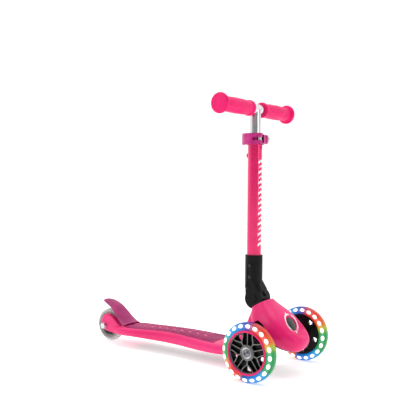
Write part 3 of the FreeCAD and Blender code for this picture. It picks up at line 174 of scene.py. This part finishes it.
hood_pink = surface("hood_pink", pick(226, 14, 104), pick(234, 28, 116), 14.0, (0.36, 0.5), coat=0.1,
                    Specular_IOR_Level=0.3).material
deck_pink = surface("deck_pink", pick(226, 16, 104), pick(236, 34, 120), 10.0, (0.3, 0.46), coat=0.15,
                    Specular_IOR_Level=0.35).material
trim_pink = surface("trim_pink", pick(226, 8, 98), pick(236, 20, 110), 60.0, (0.3, 0.4), coat=0.1,
                    Specular_IOR_Level=0.3).material
magenta = surface("brake_magenta", pick(146, 8, 92), pick(170, 18, 106), 40.0, (0.34, 0.5), coat=0.1,
                  relief=0.3, Specular_IOR_Level=0.3).material
clamp_paint = surface("clamp_paint", pick(176, 26, 112), pick(202, 42, 134), 90.0, (0.28, 0.42), metallic=0.35,
                      coat=0.3, relief=0.25).material
tube_paint = surface("tube_paint", PINK_DEEP, pick(230, 12, 104), 30.0, (0.16, 0.26), metallic=0.35, coat=0.5,
                     grain=2600.0, relief=0.05).material
black = surface("black_plastic", pick(7, 7, 9), pick(17, 17, 20), 50.0, (0.34, 0.5), relief=0.3,
                Specular_IOR_Level=0.14).material
soft_black = surface("bushing_rubber", pick(22, 22, 24), pick(34, 34, 36), 80.0, (0.6, 0.75),
                     relief=0.4).material
# The lock button's black has a slight green-grey tint, which is a painted reflection.
button_black = surface("button_black", pick(9, 16, 16), pick(22, 30, 29), 90.0, (0.28, 0.4), coat=0.2).material
grey = surface("grey_plastic", pick(70, 70, 72), pick(92, 92, 94), 60.0, (0.35, 0.5), relief=0.3).material
mark_white = surface("mark_white", pick(228, 226, 226), pick(246, 244, 244), 120.0, (0.35, 0.5)).material
copper = surface("copper_wire", pick(150, 84, 44), pick(196, 118, 66), 220.0, (0.25, 0.4), metallic=1.0).material
ferrite = surface("ferrite", pick(44, 44, 48), pick(66, 66, 70), 150.0, (0.5, 0.7), relief=0.5).material


def polished(name, tone, roughness, streak):
    """Drawn metal with faint streaks along Z and small gloss changes."""
    paint = Paint(name)
    mapping = paint.node("ShaderNodeMapping")
    mapping.inputs["Scale"].default_value = (1.0, 1.0, streak)
    paint.join(paint.place, mapping.inputs[0])
    streaks = paint.noise(900.0, 3.0, place=mapping.outputs[0])
    low = tuple(value * 0.86 for value in tone)
    paint.join(paint.ramp(streaks, [(0.3, low), (0.7, tone)]), paint.shader.inputs["Base Color"])
    paint.join(paint.fit(streaks, 0.3, 0.7, *roughness), paint.shader.inputs["Roughness"])
    paint.bump(streaks, 0.05, 0.0001)
    paint.set(Metallic=1.0)
    return paint.material


chrome = polished("polished_tube", pick(232, 232, 235), (0.08, 0.16), 0.04)
bolt_steel = polished("bolt_steel", pick(206, 208, 210), (0.18, 0.3), 1.0)
spring_steel = polished("spring_steel", pick(128, 130, 134), (0.28, 0.42), 1.0)


def polar(paint, hub):
    """Clockwise angle as 0..1 from the bottom, and distance from a wheel's centre."""
    x, y, z = paint.xyz()
    dx = paint.math("SUBTRACT", x, hub.x)
    dz = paint.math("SUBTRACT", z, hub.z)
    turn = paint.math("ARCTAN2", dx, dz)
    share = paint.math("MULTIPLY_ADD", turn, 1.0 / (2.0 * math.pi))
    share.node.inputs[2].default_value = 0.5
    squares = paint.math("ADD", paint.math("MULTIPLY", dx, dx), paint.math("MULTIPLY", dz, dz))
    radius = paint.math("SQRT", squares)
    return share, radius, y


# Degrees clockwise from the top as the rider's right shows them, and the colour lit there.
GLOW = [
    (-180, (0, 104, 196)), (-170, (8, 92, 176)), (-164, (238, 96, 52)), (-140, (226, 62, 32)),
    (-118, (240, 150, 110)), (-106, (60, 182, 84)), (-78, (20, 160, 84)), (-62, (24, 176, 150)),
    (-48, (0, 158, 226)), (-22, (16, 136, 220)), (-6, (40, 92, 196)), (6, (120, 60, 150)),
    (16, (214, 52, 46)), (44, (238, 60, 28)), (62, (240, 116, 40)), (72, (176, 204, 56)),
    (84, (20, 164, 84)), (122, (0, 154, 80)), (134, (0, 158, 214)), (158, (0, 136, 230)), (180, (0, 104, 196))]


def glowing_tyre(name, hub):
    """Clear tyre lit from inside in coloured sectors that fade towards its skin."""
    paint = Paint(name)
    share, radius, _ = polar(paint, hub)
    wobble = paint.math("MULTIPLY", paint.math("SUBTRACT", paint.noise(45.0), 0.5), 0.03)
    place = paint.math("ADD", share, wobble)
    stops = [((degrees + 180.0) / 360.0, pick(*color)) for degrees, color in GLOW]
    color = paint.ramp(place, stops)
    core = paint.fit(radius, 0.0455, 0.0535)
    skin = paint.fit(radius, 0.0545, 0.0600, 1.0, 0.0)
    lit = paint.math("MULTIPLY", core, skin)
    pale = paint.mix(paint.math("MULTIPLY", lit, 0.10), color, (0.85, 0.95, 1.0))
    paint.join(paint.mix(0.68, pale, (0.0, 0.0, 0.0)), paint.shader.inputs["Base Color"])
    paint.join(pale, paint.shader.inputs["Emission Color"])
    paint.join(paint.fit(lit, 0.0, 1.0, 0.55, 0.86), paint.shader.inputs["Emission Strength"])
    paint.join(paint.fit(paint.noise(160.0), 0.3, 0.7, 0.18, 0.34), paint.shader.inputs["Roughness"])
    paint.bump(paint.noise(500.0), 0.06, 0.0002)
    paint.set(Coat_Weight=0.1, IOR=1.45, Specular_IOR_Level=0.3)
    return paint.material


def lamp_glow(name, hub):
    """White light in the lamps, warmer at their rims, and a little uneven."""
    paint = Paint(name)
    share, radius, _ = polar(paint, hub)
    rim = paint.math("ABSOLUTE", paint.math("SUBTRACT", radius, 0.054))
    edge = paint.fit(rim, 0.0022, 0.0038)
    cloud = paint.fit(paint.noise(240.0), 0.3, 0.7, 0.0, 0.12)
    shade = paint.math("ADD", paint.math("MULTIPLY", edge, 0.45), cloud, clamp=True)
    color = paint.mix(shade, (1.0, 1.0, 1.0), (0.82, 0.92, 1.0))
    paint.join(color, paint.shader.inputs["Base Color"])
    paint.join(color, paint.shader.inputs["Emission Color"])
    paint.join(paint.fit(shade, 0.0, 1.0, 0.85, 0.5), paint.shader.inputs["Emission Strength"])
    paint.set(Roughness=0.2)
    return paint.material


def core_plastic(name, hub, outward):
    """Dark core plastic, near black with painted shade in the depths between its ribs, and a pale grey painted
    highlight on the outer rib crests.
    """
    paint = Paint(name)
    _, radius, y = polar(paint, hub)
    depth = paint.math("MULTIPLY", paint.math("SUBTRACT", y, hub.y), outward)
    # Mask of the outer rib crests, where the painted highlight goes.
    lit_crest_mask = paint.fit(depth, 0.0056, 0.0066)
    # Near-black tone: the core's dark plastic deepened as painted shade between the ribs.
    tone = paint.ramp(paint.noise(70.0), [(0.3, pick(6, 6, 7)), (0.7, pick(14, 14, 15))])
    # Pale grey for the rib crests: a painted highlight where they face the light.
    light = paint.ramp(paint.noise(120.0), [(0.3, pick(104, 104, 104)), (0.7, pick(136, 136, 134))])
    paint.join(paint.mix(lit_crest_mask, tone, light), paint.shader.inputs["Base Color"])
    paint.join(paint.fit(paint.noise(300.0), 0.3, 0.7, 0.34, 0.5), paint.shader.inputs["Roughness"])
    paint.bump(paint.noise(1600.0), 0.2, 0.0002)
    paint.set(Specular_IOR_Level=0.2)
    return paint.material


def clear_rear_tyre():
    """Milky clear urethane, darker where it is seen through edge-on."""
    paint = Paint("rear_tyre_clear")
    _, radius, _ = polar(paint, REAR_HUB)
    ring = paint.fit(radius, 0.029, 0.038)
    cloud = paint.ramp(paint.noise(60.0), [(0.3, pick(120, 120, 116)), (0.7, pick(150, 150, 146))])
    paint.join(paint.mix(ring, cloud, pick(226, 226, 222)), paint.shader.inputs["Base Color"])
    paint.join(paint.fit(paint.noise(200.0), 0.3, 0.7, 0.14, 0.3), paint.shader.inputs["Roughness"])
    paint.bump(paint.noise(420.0), 0.06, 0.0002)
    paint.set(Transmission_Weight=0.35, IOR=1.48, Coat_Weight=0.3)
    return paint.material


def mat_rubber():
    """Foot mat: magenta rubber with a small pebbled grain and rubbed high spots."""
    paint = Paint("mat_rubber")
    cells = paint.node("ShaderNodeTexVoronoi")
    cells.inputs["Scale"].default_value = 420.0
    paint.join(paint.place, cells.inputs["Vector"])
    worn = paint.ramp(paint.noise(18.0), [(0.3, pick(150, 14, 88)), (0.7, pick(174, 28, 104))])
    shade = paint.fit(cells.outputs["Distance"], 0.1, 0.7, 0.0, 0.35)
    paint.join(paint.mix(shade, worn, pick(118, 10, 70)), paint.shader.inputs["Base Color"])
    paint.join(paint.fit(paint.noise(90.0), 0.3, 0.7, 0.5, 0.66), paint.shader.inputs["Roughness"])
    paint.bump(cells.outputs["Distance"], 0.35, 0.0004)
    paint.set(Specular_IOR_Level=0.3)
    return paint.material


def grip_rubber():
    """Soft grip rubber with a satin skin and a close-set pebble."""
    paint = Paint("grip_rubber")
    cells = paint.node("ShaderNodeTexVoronoi")
    cells.inputs["Scale"].default_value = 700.0
    paint.join(paint.place, cells.inputs["Vector"])
    tone = paint.ramp(paint.noise(35.0), [(0.3, pick(224, 2, 96)), (0.7, pick(236, 14, 110))])
    paint.join(tone, paint.shader.inputs["Base Color"])
    paint.join(paint.fit(paint.noise(120.0), 0.3, 0.7, 0.42, 0.58), paint.shader.inputs["Roughness"])
    paint.bump(cells.outputs["Distance"], 0.18, 0.0003)
    paint.set(Sheen_Weight=0.05, Sheen_Roughness=0.4, Specular_IOR_Level=0.25)
    return paint.material


mat_material = mat_rubber()
grip_material = grip_rubber()
mark_pink = surface("mat_mark_pink", pick(214, 52, 118), pick(232, 82, 140), 60.0, (0.42, 0.55),
                    relief=0.3).material

FINISH = {
    "deck_shell": deck_pink, "deck_mat": mat_material, "deck_frame": black, "deck_screws": bolt_steel,
    "front_chassis": black, "hood": hood_pink, "hood_liner": black, "fold_knuckle": black, "fold_pin": black,
    "knuckle_bolts": bolt_steel, "steering_kingpin": bolt_steel, "steering_bushings": soft_black,
    "lock_spring": spring_steel, "rear_axle": bolt_steel, "rear_axle_nut": bolt_steel, "rear_axle_sleeves": grey,
    "brake_pin": bolt_steel, "brake_spring": spring_steel, "truck_bridge": black, "front_axle_bolts": spring_steel,
    "axle_magnets": ferrite, "rear_tyre": clear_rear_tyre(), "rear_core": grey, "rear_bearings": bolt_steel,
    "rear_spacer": bolt_steel, "brake_fender": magenta, "lock_button": button_black, "lock_plunger": bolt_steel,
    "column_socket": black, "socket_bolts": soft_black, "lower_tube": tube_paint, "tube_bushing": black,
    "clamp_collar": clamp_paint, "clamp_bolt": bolt_steel, "clamp_barrel": bolt_steel, "clamp_nut": bolt_steel,
    "clamp_washer": black, "fold_button_spring": spring_steel, "fold_button": black, "clamp_lever": clamp_paint,
    "snap_button": trim_pink, "tbar": chrome, "grip_left": grip_material, "grip_right": grip_material,
    "inner_tube_glide": black}
for side, hub, outward in (("left", FAR_HUB, 1.0), ("right", NEAR_HUB, -1.0)):
    FINISH["front_%s_tyre" % side] = glowing_tyre("glow_tyre_" + side, hub)
    FINISH["front_%s_lights" % side] = lamp_glow("lamp_" + side, hub)
    FINISH["front_%s_core" % side] = core_plastic("core_" + side, hub, outward)
    FINISH["front_%s_trim_ring" % side] = trim_pink
    FINISH["front_%s_bearings" % side] = bolt_steel
    FINISH["front_%s_coil" % side] = copper

for node, material in FINISH.items():
    shown = NODES[node]
    shown.data.materials.clear()
    shown.data.materials.append(material)

# ---------------------------------------------------------------- mesh helpers


def piece(name, builder, material, body, smooth=35.0):
    """Mesh object from a bmesh, finished and riding on a body."""
    mesh = bpy.data.meshes.new(name)
    bmesh.ops.recalc_face_normals(builder, faces=builder.faces)
    builder.to_mesh(mesh)
    builder.free()
    for polygon in mesh.polygons:
        polygon.use_smooth = True
    mesh.set_sharp_from_angle(angle=math.radians(smooth))
    mesh.materials.append(material)
    made = bpy.data.objects.new(name, mesh)
    bpy.context.scene.collection.objects.link(made)
    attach(made, body)
    return made


def ring_strip(builder, rows, closed=False):
    """Faces between rows of equally many vertices; each row closes on itself."""
    count = len(rows[0])
    pairs = list(zip(rows, rows[1:]))
    if closed:
        pairs.append((rows[-1], rows[0]))
    for low, high in pairs:
        for index in range(count):
            after = (index + 1) % count
            builder.faces.new((low[index], low[after], high[after], high[index]))


def lathe_y(builder, centre, profile, count, wave=None):
    """Closed turned body about Y; wave(y, angle) is added to the radius."""
    rows = []
    for y, radius in profile:
        row = []
        for index in range(count):
            angle = 2.0 * math.pi * index / count
            reach = radius + (wave(y, angle) if wave else 0.0)
            row.append(builder.verts.new(
                centre + Vector((reach * math.sin(angle), y, reach * math.cos(angle)))))
        rows.append(row)
    ring_strip(builder, rows)
    builder.faces.new(rows[0])
    builder.faces.new(rows[-1])


def slab(builder, outline, place, thickness):
    """Thin raised shape: outline points (u, v) lifted onto a surface by place(u, v, height)."""
    low = [builder.verts.new(place(u, v, -0.25 * thickness)) for u, v in outline]
    edge = [builder.verts.new(place(u, v, 0.75 * thickness)) for u, v in outline]
    cu = sum(u for u, _ in outline) / len(outline)
    cv = sum(v for _, v in outline) / len(outline)
    inset = 0.93
    top = [builder.verts.new(place(cu + (u - cu) * inset, cv + (v - cv) * inset, thickness))
           for u, v in outline]
    ring_strip(builder, [low, edge, top])
    builder.faces.new(low)
    builder.faces.new(top)


def capsule(cu, cv, length, width, angle=0.0, steps=6):
    """Outline of a round-ended bar."""
    points = []
    for end in (1.0, -1.0):
        for index in range(steps + 1):
            turn = math.pi * index / steps - math.pi / 2.0
            u = end * (length - width) / 2.0 + end * width / 2.0 * math.cos(turn)
            v = end * width / 2.0 * math.sin(turn)
            points.append((cu + u * math.cos(angle) - v * math.sin(angle),
                           cv + u * math.sin(angle) + v * math.cos(angle)))
    return points


def shaded_surface(node):
    """Search tree of a CAD node's surface, for laying thin pieces on it."""
    mesh = NODES[node].data
    return BVHTree.FromPolygons(
        [v.co.copy() for v in mesh.vertices], [tuple(p.vertices) for p in mesh.polygons])


# ---------------------------------------------------------------- grips

GRIP_PROFILE = [
    (22.0, 12.4), (22.2, 14.6), (22.9, 16.2), (24.2, 16.9), (26.2, 17.0), (28.2, 16.9), (29.8, 16.3), (31.0, 15.2),
    (32.2, 14.6), (36.0, 14.7), (128.2, 13.9), (129.8, 14.3), (130.7, 16.2), (131.2, 18.6), (132.2, 20.3),
    (133.6, 21.1), (135.0, 21.3), (136.4, 21.1), (137.8, 20.2), (138.8, 18.7), (139.3, 17.0), (139.3, 15.2),
    (138.8, 14.4), (139.2, 13.4), (139.4, 11.6), (138.9, 10.6), (139.2, 9.4), (139.3, 4.0)]


def grip_rows():
    """Profile with the finely ribbed middle put in."""
    rows = []
    for y, radius in GRIP_PROFILE:
        rows.append((y, radius))
        if y == 36.0:
            place = 37.0
            index = 0
            while place < 127.6:
                share = (place - 36.0) / 92.0
                barrel = 14.55 + 1.45 * math.sin(math.pi * min(share * 1.06, 1.0)) ** 0.9
                rows.append((place, barrel + (0.0 if index % 2 else 0.32)))
                place += 1.5
                index += 1
    return rows


def grip_wave(side):
    def wave(y, angle):
        if not 0.034 < abs(y) < 0.128:
            return 0.0
        return 0.00022 * math.cos(12.0 * angle + side * 180.0 * abs(y))
    return wave


for side, name in ((1.0, "left"), (-1.0, "right")):
    builder = bmesh.new()
    profile = [(side * y / 1000.0, radius / 1000.0) for y, radius in grip_rows()]
    lathe_y(builder, Vector((BAR.x, 0.0, BAR.z)), profile, 72, grip_wave(side))
    made = piece("grip_skin_" + name, builder, grip_material, "handlebar", 40.0)
    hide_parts("grip_" + name)

# ---------------------------------------------------------------- marks on the column


def on_column(u, v, height):
    """Point on the column's front: u runs round it, v is height above the floor."""
    radius = TUBE_RADIUS + height
    angle = u / TUBE_RADIUS
    return Vector((COLUMN.x + radius * math.cos(angle), radius * math.sin(angle), v))


def ribbon(builder, stations, place, thickness):
    """Raised band through (u, low v, high v) stations, laid on a surface."""
    rows = []
    for share, level in ((0.0, -0.3), (0.0, 1.0), (1.0, 1.0), (1.0, -0.3)):
        rows.append([builder.verts.new(place(u, low + (high - low) * share, level * thickness))
                     for u, low, high in stations])
    for low, high in zip(rows, rows[1:] + rows[:1]):
        for index in range(len(stations) - 1):
            builder.faces.new((low[index], low[index + 1], high[index + 1], high[index]))
    for index in (0, -1):
        builder.faces.new([row[index] for row in rows])


builder = bmesh.new()
CHEVRONS = 17
CHEVRON_START = 0.262
CHEVRON_REACH = (0.0078, 0.0060)
CHEVRON_STROKE = (0.0052, 0.0034)
CHEVRON_PITCH = (0.0122, 0.0100)
CHEVRON_PEAK = 0.0044
HALF_STEPS = 10
height = CHEVRON_START
for index in range(CHEVRONS):
    reach = CHEVRON_REACH[index % 2]
    stroke = CHEVRON_STROKE[index % 2]
    stations = []
    for step in range(-HALF_STEPS, HALF_STEPS + 1):
        u = reach * step / HALF_STEPS
        v = height + CHEVRON_PEAK * (1.0 - abs(step) / HALF_STEPS)
        stations.append((u, v, v + stroke))
    ribbon(builder, stations, on_column, 0.00025)
    height += CHEVRON_PITCH[index % 2]
piece("column_marks", builder, mark_white, "column")

# ---------------------------------------------------------------- ring round the lock button

BUTTON = middle("lock_button")
ACROSS = Vector((0.0, 1.0, 0.0))
UPHILL = Vector((-math.sin(STEER), 0.0, math.cos(STEER)))
hood_tree = shaded_surface("hood")


def on_hood(u, v, height):
    """Point on the nose round the button: u to the rider's left, v uphill."""
    start = BUTTON + ACROSS * u + UPHILL * v + UP_AXIS * 0.06
    hit = hood_tree.ray_cast(start, -UP_AXIS)
    return (hit[0] or start - UP_AXIS * 0.06) + UP_AXIS * height


def arc_band(builder, inner, outer, start, end, steps=28):
    """Flat curved band on the nose between two radii and two angles."""
    rows = []
    for radius, height in ((inner, -0.0002), (inner, 0.00035), (outer, 0.00035), (outer, -0.0002)):
        row = []
        for index in range(steps + 1):
            angle = math.radians(start + (end - start) * index / steps)
            row.append(builder.verts.new(on_hood(radius * math.sin(angle), radius * math.cos(angle), height)))
        rows.append(row)
    for low, high in zip(rows, rows[1:] + rows[:1]):
        for index in range(steps):
            builder.faces.new((low[index], low[index + 1], high[index + 1], high[index]))
    for index in (0, steps):
        builder.faces.new([row[index] for row in rows])


RING_INNER = 0.0180
RING_OUTER = 0.0212
TAB_INNER = 0.0206
TAB_OUTER = 0.0244
TAB_HALF_ANGLE = 5.0
builder = bmesh.new()
for start, end in ((-152.0, 22.0), (38.0, 198.0)):
    arc_band(builder, RING_INNER, RING_OUTER, start, end)
for turn in (0.0, 180.0):
    arc_band(builder, TAB_INNER, TAB_OUTER, turn - TAB_HALF_ANGLE, turn + TAB_HALF_ANGLE, 4)
piece("button_ring_mark", builder, mark_white, "deck")

# ---------------------------------------------------------------- foot mat

mat_low, mat_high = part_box("deck_mat")
mat_tree = shaded_surface("deck_mat")


def on_mat(u, v, height):
    """Point on the mat's top: u forward, v to the rider's left."""
    hit = mat_tree.ray_cast(Vector((u, v, 0.2)), Vector((0.0, 0.0, -1.0)))
    z = hit[0].z if hit[0] else mat_high.z
    return Vector((u, v, z + height))


MARK_PITCH = 0.0225
MARK_LANE = 0.0085
MARK_LENGTH = 0.0165
MARK_WIDTH = 0.0042
MARK_LEAN = math.radians(34.0)
builder = bmesh.new()
place = mat_low.x + 0.042
while place < mat_high.x - 0.03:
    for lane in (-1.0, 1.0):
        outline = capsule(place, lane * MARK_LANE, MARK_LENGTH, MARK_WIDTH, lane * MARK_LEAN)
        slab(builder, outline, on_mat, 0.0007)
    place += MARK_PITCH
piece("mat_marks", builder, mark_pink, "deck")

DOT_RADIUS = 0.0013
DOT_MARGIN = 0.0032
BARE_HALF_WIDTH = 0.019
LEVEL_ENOUGH = 0.8
builder = bmesh.new()
pitch = 0.0062
row_count = int((mat_high.y - mat_low.y) / pitch)
column_count = int((mat_high.x - mat_low.x) / pitch)
for i in range(1, column_count):
    for j in range(1, row_count):
        u = mat_low.x + pitch * i
        v = mat_low.y + pitch * (j + 0.5 * (i % 2))
        if abs(v) < BARE_HALF_WIDTH:
            continue
        outer = v + math.copysign(DOT_MARGIN, v)
        hit = mat_tree.ray_cast(Vector((u, outer, 0.2)), Vector((0.0, 0.0, -1.0)))
        if not hit[0] or hit[1].z < LEVEL_ENOUGH:
            continue
        turns = [k * math.pi / 4.0 for k in range(8)]
        outline = [(u + DOT_RADIUS * math.cos(turn), v + DOT_RADIUS * math.sin(turn)) for turn in turns]
        slab(builder, outline, on_mat, 0.00045)
piece("mat_dots", builder, mat_material, "deck")

# ---------------------------------------------------------------- shading of the CAD surfaces

for node, shown in NODES.items():
    for polygon in shown.data.polygons:
        polygon.use_smooth = True

# ---------------------------------------------------------------- floor, light and camera


def flat_plane(name, size, location):
    builder = bmesh.new()
    bmesh.ops.create_grid(builder, x_segments=2, y_segments=2, size=size)
    mesh = bpy.data.meshes.new(name)
    builder.to_mesh(mesh)
    builder.free()
    made = bpy.data.objects.new(name, mesh)
    made.location = location
    bpy.context.scene.collection.objects.link(made)
    return made


floor = flat_plane("floor", 30.0, (0.0, 0.0, -0.0004))
floor_paint = surface("floor_pale", (0.90, 0.90, 0.90), (0.93, 0.93, 0.93), 1.5, (0.75, 0.85), relief=0.02)
floor_paint.set(Emission_Color=(1.0, 1.0, 1.0, 1.0), Emission_Strength=0.42, Specular_IOR_Level=0.1)
floor.data.materials.append(floor_paint.material)

world = bpy.data.worlds.new("studio")
bpy.context.scene.world = world
world.use_nodes = True
# Direction-graded sky: white behind the object, dimmer towards the viewer, so that round metal shows bands.
sky = world.node_tree
ground = sky.nodes["Background"]
direction = sky.nodes.new("ShaderNodeTexCoord")
facing = sky.nodes.new("ShaderNodeVectorMath")
facing.operation = "DOT_PRODUCT"
facing.inputs[1].default_value = (-0.66, 0.75, 0.0)
sky.links.new(direction.outputs["Generated"], facing.inputs[0])
level = sky.nodes.new("ShaderNodeMapRange")
level.interpolation_type = "SMOOTHSTEP"
sky.links.new(facing.outputs["Value"], level.inputs["Value"])
for key, number in (("From Min", -0.55), ("From Max", 0.25), ("To Min", 0.30), ("To Max", 1.08)):
    level.inputs[key].default_value = number
sky.links.new(level.outputs["Result"], ground.inputs["Strength"])
ground.inputs["Color"].default_value = (1.0, 1.0, 1.0, 1.0)


def softbox(name, location, target, size, power):
    light = bpy.data.lights.new(name, "AREA")
    light.shape = "RECTANGLE"
    light.size, light.size_y = size
    light.energy = power
    made = bpy.data.objects.new(name, light)
    made.location = location
    made.rotation_euler = (Vector(target) - Vector(location)).to_track_quat("-Z", "Y").to_euler()
    bpy.context.scene.collection.objects.link(made)
    return made


softbox("key", (-0.55, -1.5, 1.5), (0.05, 0.0, 0.2), (0.9, 1.3), 11.0)
softbox("side", (1.6, 0.1, 0.9), (0.1, 0.0, 0.2), (0.5, 1.4), 5.0)
softbox("top", (0.0, 0.2, 2.0), (0.0, 0.0, 0.0), (1.6, 1.2), 14.0)

CAMERA = Vector((0.95103, -1.27019, 0.39047))
yaw = math.radians(35.59)
pitch_down = math.radians(1.81)
roll = math.radians(0.5)
forward = Vector((
    -math.sin(yaw) * math.cos(pitch_down), math.cos(yaw) * math.cos(pitch_down), -math.sin(pitch_down)))
right = Vector((math.cos(yaw), math.sin(yaw), 0.0))
up = right.cross(forward)
right_rolled = right * math.cos(roll) + up * math.sin(roll)
up_rolled = up * math.cos(roll) - right * math.sin(roll)
camera_data = bpy.data.cameras.new("camera")
camera_data.sensor_width = 36.0
camera_data.lens = 59.57
camera_data.clip_start = 0.05
camera = bpy.data.objects.new("camera", camera_data)
pose = Matrix((right_rolled, up_rolled, -forward)).transposed().to_4x4()
pose.translation = CAMERA
camera.matrix_world = pose
bpy.context.scene.collection.objects.link(camera)
bpy.context.scene.camera = camera
bpy.context.scene.view_settings.view_transform = "Standard"
